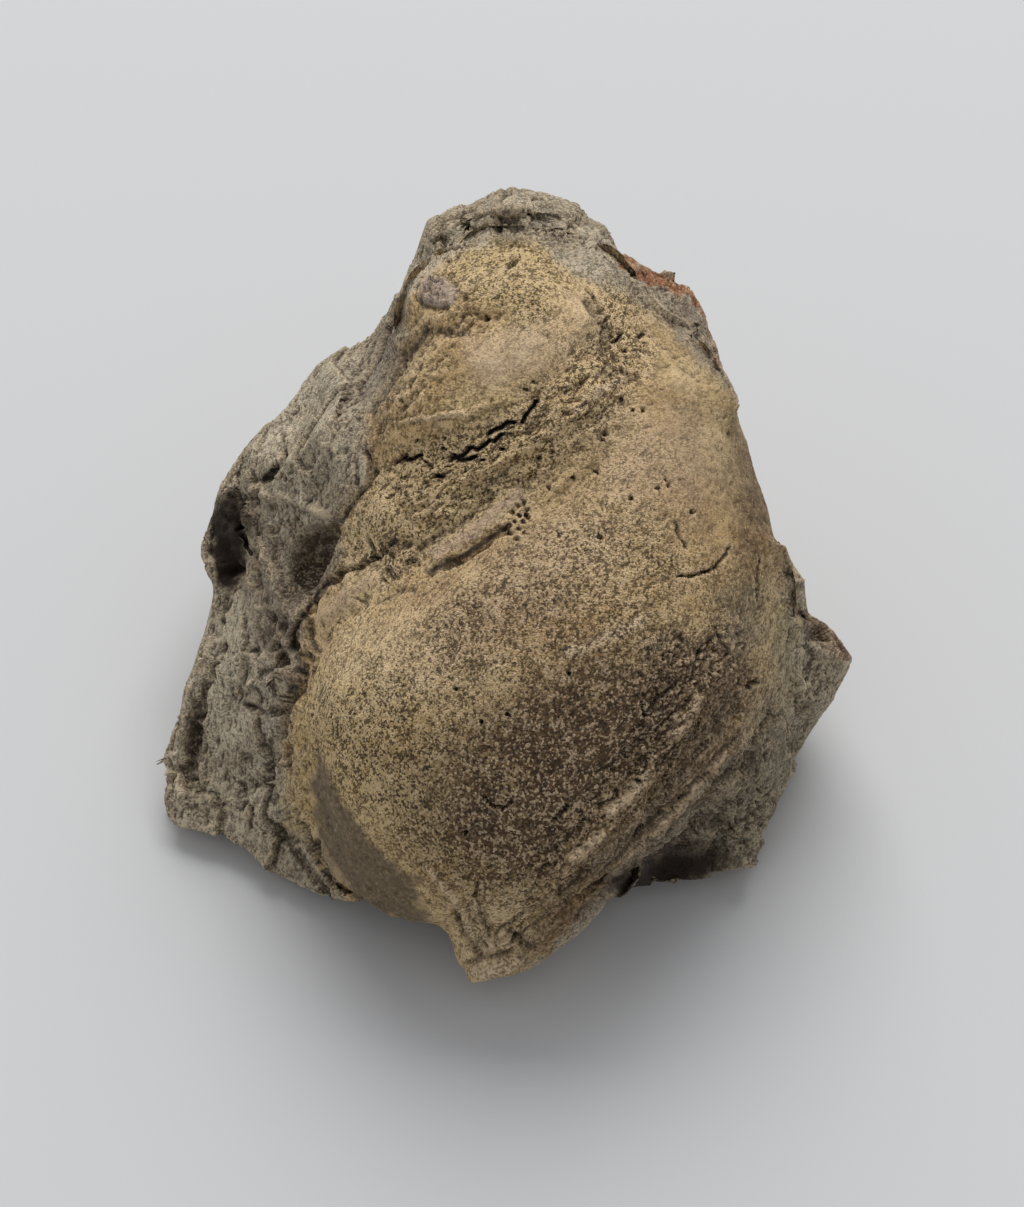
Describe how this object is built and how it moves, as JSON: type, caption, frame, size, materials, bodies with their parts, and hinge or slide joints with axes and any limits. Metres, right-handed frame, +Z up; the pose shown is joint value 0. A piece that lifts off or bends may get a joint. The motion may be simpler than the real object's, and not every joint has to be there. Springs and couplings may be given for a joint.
{
  "type": "fossil gastropod",
  "caption": "Fossil snail: the sandstone cast of a coiled shell, half held in the loose siltstone lump that it formed in.",
  "frame": {"origin": "middle of the bounding box's bottom, on the plane that the lump lies on", "axes": "+Z up, away from the resting break; +X to the right of the exposed face; +Y back, away from the side that the exposed face looks to"},
  "size_m": [0.0525, 0.0542, 0.0396],
  "materials": {
    "cast_sandstone": "fine ochre-brown sandstone, worn smooth on the whorl and rough in the sutures",
    "matrix_siltstone": "grey-green crumbly siltstone with rust-stained broken edges"
  },
  "bodies": {
    "root": {"steinkern": "cast_sandstone", "matrix": "matrix_siltstone"}
  },
  "joints": []
}
